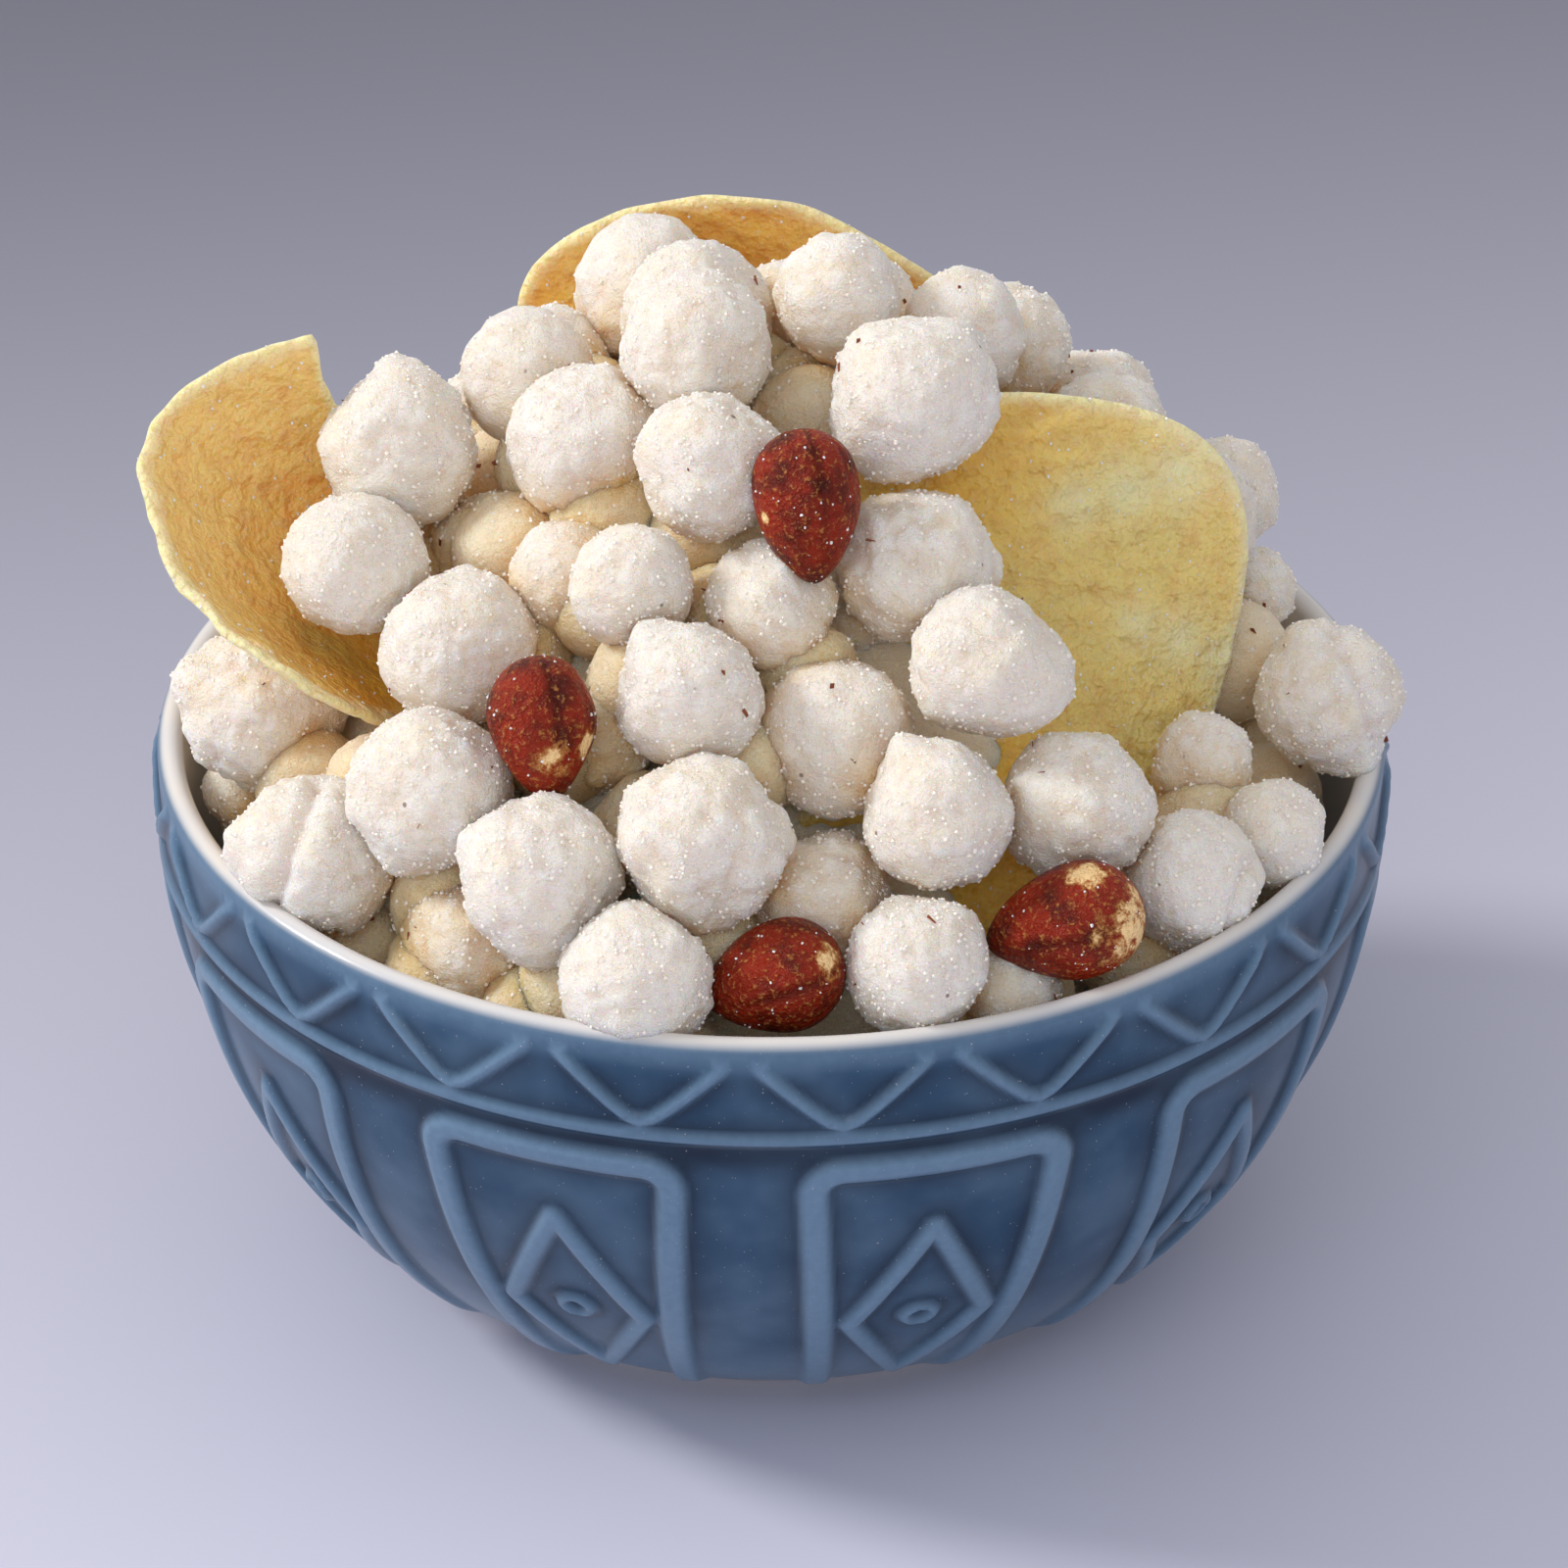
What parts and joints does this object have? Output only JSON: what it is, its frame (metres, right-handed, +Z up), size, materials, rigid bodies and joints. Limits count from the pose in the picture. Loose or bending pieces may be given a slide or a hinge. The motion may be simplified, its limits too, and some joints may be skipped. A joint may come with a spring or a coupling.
{
  "type": "bowl of roasted makhana",
  "caption": "Round glazed bowl with raised zigzag and diamond panels, heaped with puffed makhana, thin potato crisps and red-skinned roasted peanuts.",
  "frame": {"origin": "on the floor at the bowl's axis, under the foot ring", "axes": "+Z up; the side seen first faces -Y; +X to the right of that view"},
  "size_m": [0.1529, 0.1518, 0.1312],
  "materials": {
    "glaze": "glossy grey-blue glaze on stoneware, paler on the raised lines, white inside and at the lip",
    "puff": "dry white puffed seed with fine grain and small brown specks",
    "crisp": "dry pale yellow fried potato with fine salt",
    "peanut": "roasted red-brown skin with a faint oily sheen and salt"
  },
  "bodies": {
    "root": {"bowl": "glaze", "makhana_heap": "puff", "chip_left": "crisp", "chip_right": "crisp", "chip_back": "crisp", "chip_low": "crisp", "peanut_top": "peanut", "peanut_left": "peanut", "peanut_front": "peanut", "peanut_right": "peanut"}
  },
  "joints": []
}
